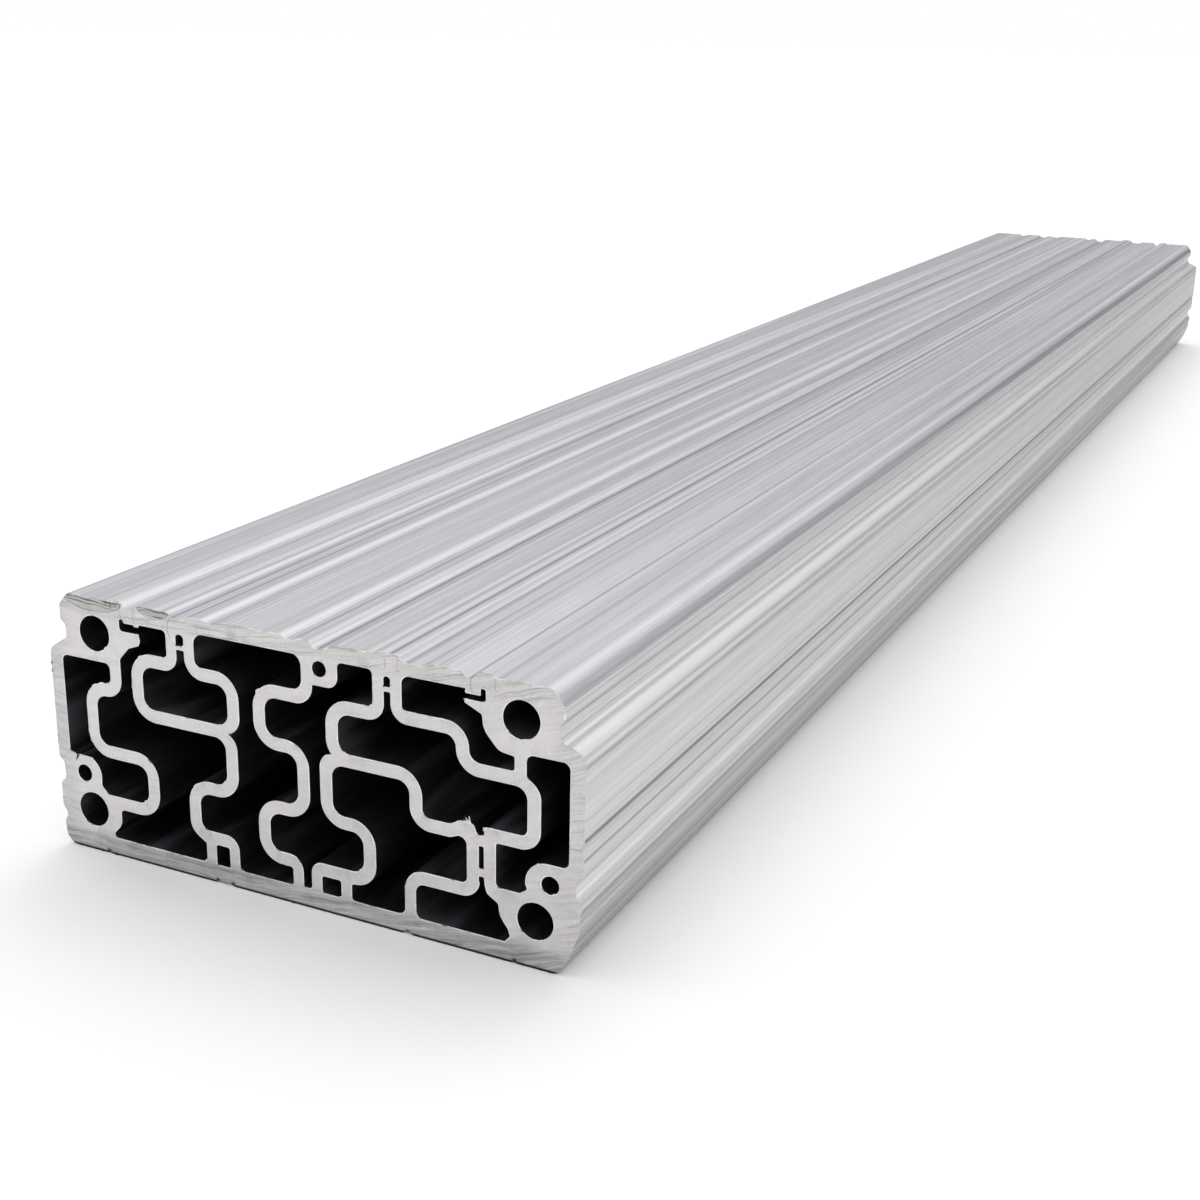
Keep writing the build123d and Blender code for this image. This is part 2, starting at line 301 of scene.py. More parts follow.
def without_knots(wide):
    """Narrows the rim, pass by pass, at both ends of each side that the shift would shorten to
    nearly nothing."""
    wide = wide.copy()
    side = section[following] - section
    for _ in range(NARROWINGS):
        moved = section + inward * wide[:, None]
        kept = ((moved[following] - moved) * side).sum(axis=1)
        knot = kept < KNOT_BELOW * (side**2).sum(axis=1)
        wide[knot] *= NARROWER
        wide[following[knot]] *= NARROWER
    return wide


def rim_rings(seed):
    """Four rings as shift into the metal and height beyond the cut: flat, crest, corner, inside."""
    wide = without_knots(RIM * (1 + RIM_UNEVEN * ragged(section, RIM_WAVE, seed)))
    lip = LIP + LIP_RAGGED * np.clip(ragged(section, LIP_WAVE, seed + 1), 0, None) ** 2
    zero = np.zeros(len(section))
    corner, inside = (zero, zero - CORNER_DROP), (zero, zero - RIM_DEPTH)
    return [(wide, zero), (CREST_AT * wide, lip), corner, inside]


def ring(shift, y):
    """The section moved into the metal by shift, standing at y along the bar."""
    xz = section + inward * shift[:, None]
    return np.column_stack([xz[:, 0], y, xz[:, 1]])


near_rim = [ring(shift, NEAR - out) for shift, out in rim_rings(5)]
far_rim = [ring(shift, FAR + out) for shift, out in rim_rings(15)]
flat = np.zeros(len(section))
from_near = [NEAR + d for d in INNER_STATIONS]
from_far = [FAR - d for d in INNER_STATIONS[::-1]]
middle = [ring(flat, flat + y) for y in from_near + [0.0] + from_far]
rings = near_rim + middle + far_rim[::-1]
print("rings:", len(rings))

# %% Walls between the rings
size = len(section)
base = np.arange(len(rings) - 1)[:, None] * size
this, after = np.arange(size)[None, :], following[None, :]
here, there = base + this, base + after
walls = np.stack([here, here + size, there + size, there], axis=-1).reshape(-1, 4)
wall_ring = np.repeat(np.arange(len(rings) - 1), size)
wall_on_skin = np.tile(on_skin, len(rings) - 1)
print("wall faces:", len(walls))

# %% [markdown]
# The two flat faces are filled by a constrained triangulation: it keeps every side of every loop
# and fills all the space inside the outline. Triangles that lie over a chamber are then dropped. A
# triangle is over metal if a line from its middle to the right crosses the loops an odd number of
# times.

# %% Fill the cut faces
TINY = 1e-12
WELD = 1e-7


def over_metal(middles, loop_points, after_points):
    """Odd count of sides crossed by the ray to the right of each middle."""
    x, z = middles[:, :1], middles[:, 1:]
    ax, az = loop_points[:, 0], loop_points[:, 1]
    bx, bz = after_points[:, 0], after_points[:, 1]
    spans = (az[None] > z) != (bz[None] > z)
    rise = np.where(np.abs(bz - az) < TINY, TINY, bz - az)
    hit = ax[None] + (z - az[None]) * ((bx - ax) / rise)[None]
    return (spans & (hit > x)).sum(axis=1) % 2 == 1


def filled(rim):
    """Triangles of the flat face inside one ring, anticlockwise as seen from the near end."""
    xz = rim[:, [0, 2]]
    pairs = np.column_stack([np.arange(size), following])
    corners_2d = [Vector(p) for p in xz.tolist()]
    made, _, cells, origins, *_ = delaunay_2d_cdt(corners_2d, pairs.tolist(), [], 1, WELD)
    assert len(made) == size, "the loops cross or touch"
    source = np.array([ids[0] for ids in origins])
    faces = source[np.array(cells)]
    middles = xz[faces].mean(axis=1)
    faces = faces[over_metal(middles, xz, xz[following])]
    one, two = xz[faces[:, 1]] - xz[faces[:, 0]], xz[faces[:, 2]] - xz[faces[:, 0]]
    backwards = one[:, 0] * two[:, 1] - one[:, 1] * two[:, 0] < 0
    faces[backwards] = faces[backwards][:, ::-1]
    return faces


near_cap = filled(rings[0])
far_cap = filled(rings[-1])[:, ::-1] + (len(rings) - 1) * size
print("cap triangles:", len(near_cap), len(far_cap))

# %% Make the mesh
SMOOTH_BELOW = math.radians(32)
SAWN, SKIN, CHAMBER = 0, 1, 2

verts = np.vstack(rings) * MM
faces = walls.tolist() + near_cap.tolist() + far_cap.tolist()
bar_mesh = bpy.data.meshes.new("dressed_bar")
bar_mesh.from_pydata(verts.tolist(), [], faces)

# Two walls at each end, from the flat face over the crest to the broken corner, belong to the cut.
in_rim = (wall_ring < 2) | (wall_ring >= len(rings) - 3)
slots = np.where(in_rim, SAWN, np.where(wall_on_skin, SKIN, CHAMBER))
slots = np.concatenate([slots, np.full(len(near_cap) + len(far_cap), SAWN)])
bar_mesh.polygons.foreach_set("material_index", slots.astype(np.int32))
bar_mesh.polygons.foreach_set("use_smooth", np.arange(len(faces)) < len(walls))
bar_mesh.update()
bar_mesh.set_sharp_from_angle(angle=SMOOTH_BELOW)
print("dressed bar:", len(verts), "points,", len(walls) * 2 + len(near_cap) * 2, "triangles")

# %% [markdown]
# The lip is painted brighter than the face, a painted highlight, but not evenly so, and its metal
# is
# made fresh: less metallic and smoother. A number at each point of the mesh, an attribute, tells
# the material how strong that painted highlight is there and how fresh the metal is: high on the
# crest round the chambers, patchy along the top edge of the skin, and none elsewhere.

# %% Mark the lip
TOP_EDGE = 46.0
PATCH_WAVE = 3.0
SKIN_FRESH_LIP_AND_HIGHLIGHT = (0.45, 0.8)
HOLE_FRESH_LIP_AND_HIGHLIGHT = (0.8, 0.3)

patchy = ragged(section, PATCH_WAVE, 25)


def patches(level, swing):
    """A level with the patchy height added, kept between 0 and 1."""
    return np.clip(level + swing * patchy, 0, 1)


skin_fresh_lip_and_highlight = np.where(section[:, 1] > TOP_EDGE, patches(*SKIN_FRESH_LIP_AND_HIGHLIGHT), 0.0)
fresh_lip_and_highlight_share = np.where(on_skin, skin_fresh_lip_and_highlight, patches(*HOLE_FRESH_LIP_AND_HIGHLIGHT))
# The crest and the broken corner are the second and third ring from each end.
ring_mark = np.zeros(len(rings))
ring_mark[[1, 2, -2, -3]] = 1.0
fresh_lip_and_highlight_mark = bar_mesh.attributes.new("lip", "FLOAT", "POINT")
fresh_lip_and_highlight_mark.data.foreach_set("value", (ring_mark[:, None] * fresh_lip_and_highlight_share[None, :]).ravel())
print("mean lip mark:", round(float(fresh_lip_and_highlight_share.mean()), 3))

# %% Put the bar in the place of the plain solid
bar = bpy.data.objects.new("dressed_bar", bar_mesh)
bpy.context.scene.collection.objects.link(bar)
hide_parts("profile_bar")
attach(bar, "root")
print("bar's slots:", [int((slots == k).sum()) for k in (SAWN, SKIN, CHAMBER)])

# %% [markdown]
# ## Burrs
# Here and there the saw has dragged a sliver of metal over an edge: a feathery one on the hump
# right of the middle, specks on a corner, and crumbs along the chamber floors. Each is a thin
# wedge. Its three-cornered section is carried along the edge it hangs on, swells and shrinks on
# the way, and leans out over the opening.

# %% Where the burrs sit
NAMED_BURRS = (
    (32.3, 24.4, 1.0, 0.70, 0.60),
    (33.0, 24.5, 1.0, 0.90, 1.00),
    (33.5, 24.4, 0.7, 0.90, 1.50),
    (34.0, 24.3, 0.4, 0.60, 1.70),
    (36.9, 23.6, 0.9, 0.50, 0.50),
    (36.1, 22.2, 0.8, 0.45, 0.40),
    (35.8, 16.1, 0.6, 0.40, 0.40),
    (23.3, 6.9, 1.1, 0.60, 0.35),
    (23.5, 5.6, 0.6, 0.40, 0.30),
    (9.8, 3.7, 0.9, 0.30, 0.22),
    (11.0, 3.7, 1.1, 0.35, 0.30),
    (12.4, 3.7, 0.8, 0.30, 0.20),
    (45.0, 3.7, 1.2, 0.30, 0.20),
    (48.0, 14.0, 0.9, 0.30, 0.30),
    (50.0, 14.0, 0.8, 0.30, 0.30),
    (-44.4, 50.8, 0.6, 0.30, 0.20),
    (-39.4, 50.9, 0.5, 0.30, 0.20),
    (-34.0, 50.4, 0.7, 0.32, 0.20),
    (-27.6, 50.4, 0.6, 0.30, 0.20),
    (6.0, 50.2, 0.7, 0.32, 0.20),
    (12.0, 50.6, 0.9, 0.34, 0.20),
    (30.2, 50.4, 0.8, 0.34, 0.20),
    (54.6, 24.0, 0.7, 0.40, 0.25),
)
CRUMBS = 150
CRUMB_SIZES = ((0.4, 1.5), (0.16, 0.48), (0.06, 0.26))
FLOOR_FACING = -0.6


def anchors(rng_seed, named):
    """Points of the section that carry a burr, with its length, height and lean: the named ones
    first, each moved to the nearest edge, then crumbs at random on edges under an opening."""
    draw = np.random.default_rng(rng_seed)
    spots = np.array(named, dtype=float).reshape(-1, 5)
    apart = ((section[None] - spots[:, None, :2]) ** 2).sum(axis=2)
    floors = np.flatnonzero((inward[:, 1] < FLOOR_FACING) & ~on_skin)
    picked = draw.choice(floors, CRUMBS, replace=False)
    small = [draw.uniform(*limits, CRUMBS) for limits in CRUMB_SIZES]
    where = np.concatenate([apart.argmin(axis=1), picked]).astype(int)
    return where, np.vstack([spots[:, 2:], np.column_stack(small)])


print("named burrs:", len(NAMED_BURRS), "and crumbs at each end:", CRUMBS)

# %% The shape of a burr
STATIONS = 9
THINNEST = 0.04
UNEVEN = (0.55, 1.0)
ROOT_REACH = 0.12
SUNK = 0.02
UNDER_DEPTH = 0.15


def burrs(where, shape, cut_y, outward, seed):
    """Corners of all wedges as one array of burr, station, corner and coordinate. Along a burr the
    size is one minus the square of the way along, made uneven; the corners are a root in the face,
    a tip that stands out and leans over the opening, and a root inside the opening."""
    draw = np.random.default_rng(seed)
    length, height, lean = (shape[:, k][:, None] for k in range(3))
    way = np.linspace(-1, 1, STATIONS)[None, :]
    swell = np.maximum(1 - way**2, THINNEST) * draw.uniform(*UNEVEN, (len(where), STATIONS))
    side = section[following[where]] - section[where]
    side /= np.hypot(*side.T)[:, None]
    middle = section[where][:, None, :] + side[:, None, :] * (way * length / 2)[..., None]
    inner = inward[where] / np.hypot(*inward[where].T)[:, None]

    def corner(into, out):
        flat_part = middle + inner[:, None, :] * into[..., None]
        return np.stack([flat_part[..., 0], cut_y + outward * out, flat_part[..., 1]], axis=-1)

    root = corner(ROOT_REACH * swell, np.full_like(swell, -SUNK))
    tip = corner(-lean * swell, height * swell)
    under = corner(-SUNK * swell, -UNDER_DEPTH * swell)
    return np.stack([root, tip, under], axis=2)


def wedge_faces(amount):
    """Three quads between neighbouring stations and a triangle at each end, for every wedge."""
    first_corner = np.arange(amount)[:, None, None] * STATIONS * 3
    station = np.arange(STATIONS - 1)[None, :, None] * 3
    k = np.arange(3)[None, None, :]
    here, there = first_corner + station + k, first_corner + station + (k + 1) % 3
    quads = np.stack([here, there, there + 3, here + 3], axis=-1).reshape(-1, 4)
    start = np.arange(amount)[:, None] * STATIONS * 3
    finish = start + (STATIONS - 1) * 3
    ends = np.vstack([start + np.array([[0, 2, 1]]), finish + np.array([[0, 1, 2]])])
    return quads.tolist() + ends.tolist()


print("faces of one burr:", len(wedge_faces(1)))

# %% Make the burrs
near_where, near_shape = anchors(77, NAMED_BURRS)
far_where, far_shape = anchors(78, ())
near_burrs = burrs(near_where, near_shape, NEAR, -1.0, 79)
far_burrs = burrs(far_where, far_shape, FAR, 1.0, 80)
wedges = np.vstack([near_burrs, far_burrs])
burr_mesh = bpy.data.meshes.new("saw_burrs")
burr_mesh.from_pydata((wedges.reshape(-1, 3) * MM).tolist(), [], wedge_faces(len(wedges)))

work = bmesh.new()
work.from_mesh(burr_mesh)
bmesh.ops.recalc_face_normals(work, faces=work.faces)
work.to_mesh(burr_mesh)
work.free()

saw_burrs = bpy.data.objects.new("saw_burrs", burr_mesh)
bpy.context.scene.collection.objects.link(saw_burrs)
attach(saw_burrs, "root")
print("burrs:", len(wedges), "with", len(burr_mesh.polygons), "faces")

# %% [markdown]
# ## A small language for shaders
# A material is a graph of nodes, and its sums are easier to read as sums. The class below wraps
# one output of a node, and the usual signs add the nodes for them. Every other node comes from one
# method.

# %% Signals and the bench they are wired on
BUMP_STRENGTH = 0.5


class Signal:
    """One output in a node tree. A sign between two signals, or between a signal and a number, adds
    a Math node."""

    def __init__(self, bench, socket):
        self.bench, self.socket = bench, socket

    def math(self, operation, *values):
        return self.bench.add("ShaderNodeMath", {"operation": operation}, dict(enumerate(values)))

    def __add__(self, other):
        return self.math("ADD", self, other)

    def __radd__(self, other):
        return self.math("ADD", other, self)

    def __sub__(self, other):
        return self.math("SUBTRACT", self, other)

    def __rsub__(self, other):
        return self.math("SUBTRACT", other, self)

    def __mul__(self, other):
        return self.math("MULTIPLY", self, other)

    def __rmul__(self, other):
        return self.math("MULTIPLY", other, self)

    def __truediv__(self, other):
        return self.math("DIVIDE", self, other)

    def __pow__(self, other):
        return self.math("POWER", self, other)

    def size(self):
        """The value without its sign."""
        return self.math("ABSOLUTE", self)

    def most(self, other):
        """The larger of the two values."""
        return self.math("MAXIMUM", self, other)

    def swing(self, share):
        """A noise's swing about its middle, which is a half, times a share."""
        return (self - 0.5) * share

    def above(self, low, high):
        """0 below low, 1 above high, and a smooth rise between them."""
        limits = {"Value": self, "From Min": low, "From Max": high}
        return self.bench.add("ShaderNodeMapRange", {"interpolation_type": "SMOOTHSTEP"}, limits)

    def near(self, centre, half_width):
        """1 at the centre, falling smoothly to 0 at half a width on either side."""
        return 1 - (self - centre).size().above(0.0, half_width)


class Bench:
    """A material's or the world's node tree, emptied, with one way to add a node."""

    def __init__(self, owner):
        owner.use_nodes = True
        self.tree = owner.node_tree
        self.tree.nodes.clear()

    def add(self, kind, settings=None, inputs=None, output=0):
        """Adds a node: its settings first, then the values or links of its sockets."""
        node = self.tree.nodes.new(kind)
        for name, value in (settings or {}).items():
            setattr(node, name, value)
        for name, value in (inputs or {}).items():
            if isinstance(value, Signal):
                self.tree.links.new(value.socket, node.inputs[name])
            else:
                node.inputs[name].default_value = value
        return Signal(self, node.outputs[output] if len(node.outputs) else None)

    def place(self):
        """Object coordinates in millimetres, as one vector and as x, y and z."""
        metres = self.add("ShaderNodeTexCoord", output=3)
        spot = self.vector("SCALE", metres, scale=1 / MM)
        axes = [self.add("ShaderNodeSeparateXYZ", None, {0: spot}, output=k) for k in range(3)]
        return spot, *axes

    def vector(self, operation, one, two=(0.0, 0.0, 0.0), scale=1.0):
        inputs = {0: one, "Scale": scale} if operation == "SCALE" else {0: one, 1: two}
        return self.add("ShaderNodeVectorMath", {"operation": operation}, inputs)

    def cloud(self, spot, scale, detail):
        """Even noise between 0 and 1, its blots about one over the scale wide."""
        inputs = {"Vector": spot, "Scale": scale, "Detail": detail}
        return self.add("ShaderNodeTexNoise", None, inputs)

    def noise(self, spot, across, along, detail=2.0, shift=0.0):
        """Noise stretched into streaks: about across mm wide and along mm long, from 0 to 1."""
        scaled = self.vector("MULTIPLY", spot, (1 / across, 1 / along, 1 / across))
        moved = self.vector("ADD", scaled, (shift, shift, shift))
        return self.cloud(moved, 1.0, detail)

    def mix(self, factor, one, two):
        """Colour one where the factor is 0 and colour two where it is 1. A colour's own sockets on
        the node are the sixth and seventh."""
        inputs = {0: factor, 6: one, 7: two}
        return self.add("ShaderNodeMix", {"data_type": "RGBA"}, inputs, output=2)

    def tinted(self, value, colour):
        """A grey value times a colour, by Vector Math."""
        grey = self.add("ShaderNodeCombineXYZ", None, {0: value, 1: value, 2: value})
        return self.vector("MULTIPLY", grey, colour)

    def bump(self, height, depth):
        """A tilt of the light by a height from 0 to 1 that stands for a depth in millimetres."""
        inputs = {"Strength": BUMP_STRENGTH, "Distance": depth * MM, "Height": height}
        return self.add("ShaderNodeBump", None, inputs)

    def principled(self, inputs):
        """Ends a material with the one shader that an export knows."""
        self.finish(self.add("ShaderNodeBsdfPrincipled", None, inputs))

    def finish(self, shader, kind="ShaderNodeOutputMaterial"):
        self.add(kind, None, {"Surface": shader})


# %% [markdown]
# ## The mill finish
# Extruded aluminium is left as it comes from the die. It is a grey metal with fine streaks that
# run the whole length, some broad and soft, some as thin as a scratch. The streaks are noise
# squeezed in width and drawn out in length. They change the colour and the roughness, and a bump
# tilts the light. Bolder bands are listed in two short tables, one across the top and one up the
# right side: some are die streaks in their own places on the real bar, and the rest are painted
# highlights and painted shade where the grooves and shoulders catch or lose the light. The top and
# the side are painted in two tones as well, for how the light falls on each.

# %% Bands across the top and up the side
# Across the top, partly bold die streaks and partly painted highlights and painted shade where the
# flanks of the grooves catch or lose the light.
TOP_STREAKS_AND_PAINTED_LIGHT = (
    (-47.5, 1.8, 0.08),
    (-39.6, 2.0, 0.40),
    (-36.9, 1.8, 0.10),
    (-29.4, 1.3, 0.40),
    (-27.4, 0.9, 0.16),
    (-26.3, 0.9, -0.30),
    (-19.7, 1.2, 0.34),
    (-7.5, 1.2, 0.10),
    (-3.2, 1.4, 0.26),
    (2.1, 0.8, -0.12),
    (4.7, 0.8, -0.40),
    (6.1, 0.7, 0.20),
    (7.9, 0.9, -0.12),
    (9.4, 0.3, -0.16),
    (13.6, 0.22, -0.12),
    (15.0, 1.0, 0.38),
    (17.9, 0.9, 0.36),
    (19.0, 0.8, -0.34),
    (22.0, 0.7, -0.24),
    (28.2, 0.3, -0.16),
    (30.6, 2.8, 0.06),
    (34.0, 0.8, -0.36),
    (36.6, 1.8, 0.12),
    (38.8, 1.2, -0.12),
    (44.0, 1.0, 0.08),
    (46.4, 1.6, -0.08),
    (48.5, 1.1, 0.16),
    (50.8, 1.2, -0.30),
)
# Up the side, partly die streaks and partly painted highlights and painted shade on the shoulder,
# chamfer and lower curve, with a painted contact shadow along the bottom at 0.
SIDE_STREAKS_AND_PAINTED_LIGHT = (
    (50.6, 0.9, -0.16),
    (49.1, 1.2, -0.06),
    (47.2, 1.0, -0.16),
    (46.2, 0.5, -0.14),
    (43.9, 1.0, 0.12),
    (41.4, 1.9, 0.28),
    (38.2, 1.0, -0.24),
    (34.0, 3.0, -0.04),
    (25.4, 0.6, -0.50),
    (21.9, 0.5, -0.34),
    (15.6, 3.0, 0.14),
    (11.4, 3.4, -0.14),
    (6.8, 2.4, -0.10),
    (0.0, 0.9, -0.50),
)


def bands(place, table):
    """The sum of bands, each given as its middle, its reach on either side, and what it adds."""
    total = 0.0
    for middle, half_width, gain in table:
        total = place.near(middle, half_width) * gain + total
    return total


print("bands:", len(TOP_STREAKS_AND_PAINTED_LIGHT), "on the top,", len(SIDE_STREAKS_AND_PAINTED_LIGHT), "on the side")

# %% Mill finish
# The top and the side are one metal painted in two tones and tints: the top lighter and cooler, the
# side plainer, as painted light for how each is lit.
TOP_TONE = 0.86
TOP_SLOPE = 0.0006
TOP_STREAKS = 1.3
TOP_STARTS = (47.4, 48.0)
SIDE_TONE = 0.735
SIDE_STARTS = (50.0, 50.6)
COOL = (0.981, 0.991, 1.020)
PLAIN = (1.0, 0.998, 0.994)
EDGE_TINT = (0.55, 0.55, 0.56, 1.0)
MILL_ROUGH = 0.395
MILL_DEPTH = 0.016
HAIR_STARTS = 0.58
DARK_HAIR_FULL = 0.66
PALE_HAIR_FULL = 0.68


def mill_finish_and_painted_light():
    material = bpy.data.materials.new("mill_finish_and_painted_light")
    bench = Bench(material)
    spot, x, y, z = bench.place()
    broad = bench.noise(spot, 5.0, 520.0, shift=3.1)
    medium = bench.noise(spot, 1.4, 300.0, shift=7.7)
    fine = bench.noise(spot, 0.36, 150.0, shift=1.9)
    grain = bench.noise(spot, 0.16, 14.0, detail=3.0, shift=9.4)
    dark_hair = bench.noise(spot, 0.9, 1100.0, detail=5.0, shift=12.3)
    pale_hair = bench.noise(spot, 0.7, 700.0, detail=5.0, shift=21.6)
    # Each number here is a share of the tone: how far the streak takes it up or down.
    streaks = broad.swing(0.12) + medium.swing(0.10) + fine.swing(0.30) + grain.swing(0.26)
    streaks = streaks - dark_hair.above(HAIR_STARTS, DARK_HAIR_FULL) * 0.11
    streaks = streaks + pale_hair.above(HAIR_STARTS, PALE_HAIR_FULL) * 0.05
    # Painted light: the top and the side get their own tone, and the top grows a little lighter
    # towards the right.
    top = streaks * TOP_STREAKS + TOP_TONE + x * TOP_SLOPE + bands(x, TOP_STREAKS_AND_PAINTED_LIGHT)
    side = streaks + SIDE_TONE + bands(z, SIDE_STREAKS_AND_PAINTED_LIGHT) * x.above(*SIDE_STARTS)
    on_top = z.above(*TOP_STARTS)
    bench.principled(
        {
            "Base Color": bench.mix(on_top, bench.tinted(side, PLAIN), bench.tinted(top, COOL)),
            "Metallic": 1.0,
            "Roughness": MILL_ROUGH + medium.swing(0.20) + fine.swing(0.18),
            "Normal": bench.bump(medium.swing(0.6) + fine.swing(0.4), MILL_DEPTH),
            "Specular Tint": EDGE_TINT,
        }
    )
    return material


# %% [markdown]
# ## The sawn face
# A circular saw leaves shallow arcs that all share the blade's centre, far above the bar. Distance
# from that centre, fed to a noise, draws them. They are strongest in the outer wall, where the
# blade broke in and out. The lip round each opening is painted brighter, a painted highlight for
# the light its fresh metal would catch, and it is made less metallic and smoother as well.

# %% Saw arcs
SAW_CENTRE = (-31.0, 290.0)
ARC_STRETCH = 7.0
ARC_DRIFT = 0.1
ARC_BEND = 2.0
ARC_SIZES = ((1.1, 4.0), (3.4, 3.0), (8.0, 2.0))


def saw_arcs(bench, x, y, z, bend):
    """Noise on polar coordinates about the blade's centre: narrow in radius, long round the turn.
    It comes in three sizes, coarse, thin and as fine as a hair."""
    dx, dz = x - SAW_CENTRE[0], z - SAW_CENTRE[1]
    radius = (dx * dx + dz * dz) ** 0.5 + bend
    turn = dx.math("ARCTAN2", dx, dz) * ARC_STRETCH
    spot = bench.add("ShaderNodeCombineXYZ", None, {0: radius, 1: turn, 2: y * ARC_DRIFT})
    return [bench.cloud(spot, scale, detail) for scale, detail in ARC_SIZES]


print("sizes of arc:", len(ARC_SIZES), "blade's centre in mm:", SAW_CENTRE)

# %% [markdown]
# The top wall was torn as well as cut. Two thin flaps of metal are folded over the face and show as
# ovals with a dark rim, a smear lies beside them, and short cracks run down from the top. One crack
# crosses the right wall. Each is a row in a table: an oval is its middle and half sizes, and a tear
# is its middle, its bend, its lower and upper end and how dark it is.

# %% Flaps, tears and the crack
FLAPS = ((-44.6, 50.8, 7.0, 2.5), (-30.6, 50.9, 3.5, 2.0))
FLAP_WOBBLE = 0.9
FLAP_RIM = (1.0, 0.10, 0.34)
SMEAR = (-17.0, 48.9, 7.5, 1.1)
TEAR_LINES = (
    (-41.0, -0.3, 49.9, 51.3, 0.34),
    (-40.1, 0.3, 49.4, 51.3, 0.34),
    (-37.9, 0.2, 46.7, 50.7, 0.20),
    (-35.0, 0.4, 46.6, 50.3, 0.26),
    (-27.4, 0.7, 45.9, 50.0, 0.34),
    (17.9, -0.4, 48.2, 50.6, 0.26),
    (20.2, 0.4, 48.2, 50.9, 0.22),
    (34.0, 0.5, 47.4, 50.2, 0.26),
    (38.4, 0.4, 48.2, 50.8, 0.26),
)
TEAR_WOBBLE = 0.7
TEAR_HALF = 0.13
TEAR_FADE = 0.3
WALL_CRACK = (52.2, 23.6)
CRACK_SLOPE = 0.1
CRACK_HALF = 0.14
CRACK_DARK = 0.3


def oval(x, z, centre_x, centre_z, half_long, half_high):
    """1 on an ellipse, less inside it and more outside: the squares of both shares, added."""
    u, v = (x - centre_x) / half_long, (z - centre_z) / half_high
    return u * u + v * v


def flaps(x, z, cloud, streaked):
    """How much darker the folded flaps and the smear are: inside each oval, more where the arcs
    are dark, and along the rim of a flap."""
    dark = (1 - oval(x, z, *SMEAR).above(0.3, 1.05)) * streaked * 0.22
    rim_at, rim_half, rim_dark = FLAP_RIM
    for flap in FLAPS:
        spread = oval(x, z, *flap) + cloud.swing(FLAP_WOBBLE)
        dark = dark + (1 - spread.above(0.8, 1.0)) * (0.10 + streaked * 0.26)
        dark = dark + spread.near(rim_at, rim_half) * rim_dark
    return dark


def tears(x, z, cloud):
    """How much darker the tears are: each a line bent by the square of the way along it."""
    crack_x, crack_z = WALL_CRACK
    level = (z - x * CRACK_SLOPE).near(crack_z - crack_x * CRACK_SLOPE, CRACK_HALF)
    dark = level * x.above(crack_x, crack_x + TEAR_FADE) * CRACK_DARK
    for middle, bend, low, high, depth in TEAR_LINES:
        way = (z - (low + high) / 2) / ((high - low) / 2)
        line = (x - way * way * bend + cloud.swing(TEAR_WOBBLE)).near(middle, TEAR_HALF)
        length = z.above(low, low + TEAR_FADE) * (1 - z.above(high - TEAR_FADE, high))
        dark = dark + line * length * depth
    return dark


print("flaps:", len(FLAPS), "tears:", len(TEAR_LINES))

# %% The painted shadow at the foot
FOOT_NOTCHES = (-44.5, -19.2, -15.8, 21.3, 42.3)
FOOT_EDGE = (0.30, 0.62)
NOTCH_HALF = 0.9
NOTCH_TOP = (0.6, 1.2)
FOOT_DARK = 0.95


def foot_shade(x, z):
    """What is left of the tone under a painted contact shadow: at the underside, where the corner
    is dark, and in its notches.
    """
    foot = 1 - z.above(*FOOT_EDGE)
    for notch in FOOT_NOTCHES:
        foot = foot.most(x.near(notch, NOTCH_HALF) * (1 - z.above(*NOTCH_TOP)))
    return 1 - foot * FOOT_DARK


print("notches underneath:", len(FOOT_NOTCHES))

# %% Sawn face
SAW_TONE = 0.665
SAW_WARM = (1.02, 0.995, 0.975)
SAW_ROUGH = 0.46
SAW_DEPTH = 0.03
LOW_WALL = (2.4, 5.2)
TOP_WALL = (46.6, 48.6)
SIDE_WALL = (48.0, 53.0)
LEFT_WALL = (-54.0, -49.0)


def sawn_face():
    material = bpy.data.materials.new("sawn_face")
    bench = Bench(material)
    spot, x, y, z = bench.place()
    cloud = bench.cloud(spot, 0.14, 3.0)
    coarse, thin, hair = saw_arcs(bench, x, y, z, cloud.swing(ARC_BEND))
    speck = bench.noise(spot, 0.4, 0.4, detail=3.0, shift=4.4)
    lip = bench.add("ShaderNodeAttribute", {"attribute_name": "lip"}, None, output=2)
    low_wall = 1 - z.above(*LOW_WALL)
    left_wall = 1 - x.above(*LEFT_WALL)
    wall = low_wall.most(z.above(*TOP_WALL)).most(x.size().above(*SIDE_WALL) * 0.6)
    scored = thin.above(0.50, 0.66) * (0.08 + wall * 0.92)
    # Each number here is a share of the tone: how far the wall, arc or speck takes it up or down.
    tone = SAW_TONE - low_wall * 0.15 - wall * 0.04 - left_wall * 0.05
    tone = tone + coarse.swing(0.08 + low_wall * 0.36 + wall * 0.16)
    tone = tone + thin.swing(low_wall * 0.60 + wall * 0.10)
    tone = tone + hair.swing(0.12 + low_wall * 0.36 + wall * 0.12)
    # The lip's share lifts the tone as a painted highlight round the openings and on the top edge.
    tone = tone + cloud.swing(0.10) + speck.swing(0.14) - scored * 0.16 + lip * 0.26
    tone = tone - flaps(x, z, cloud, thin.above(0.42, 0.62)) - tears(x, z, cloud)
    # The foot's factor darkens the tone as a painted contact shadow along the bottom and in its
    # notches.
    bench.principled(
        {
            "Base Color": bench.tinted(tone * foot_shade(x, z), SAW_WARM),
            "Metallic": 0.9 - lip * 0.6,
            "Roughness": SAW_ROUGH + thin.swing(0.2) - lip * 0.12,
            "Normal": bench.bump(coarse.swing(0.4) + thin.swing(0.6), SAW_DEPTH),
        }
    )
    return material


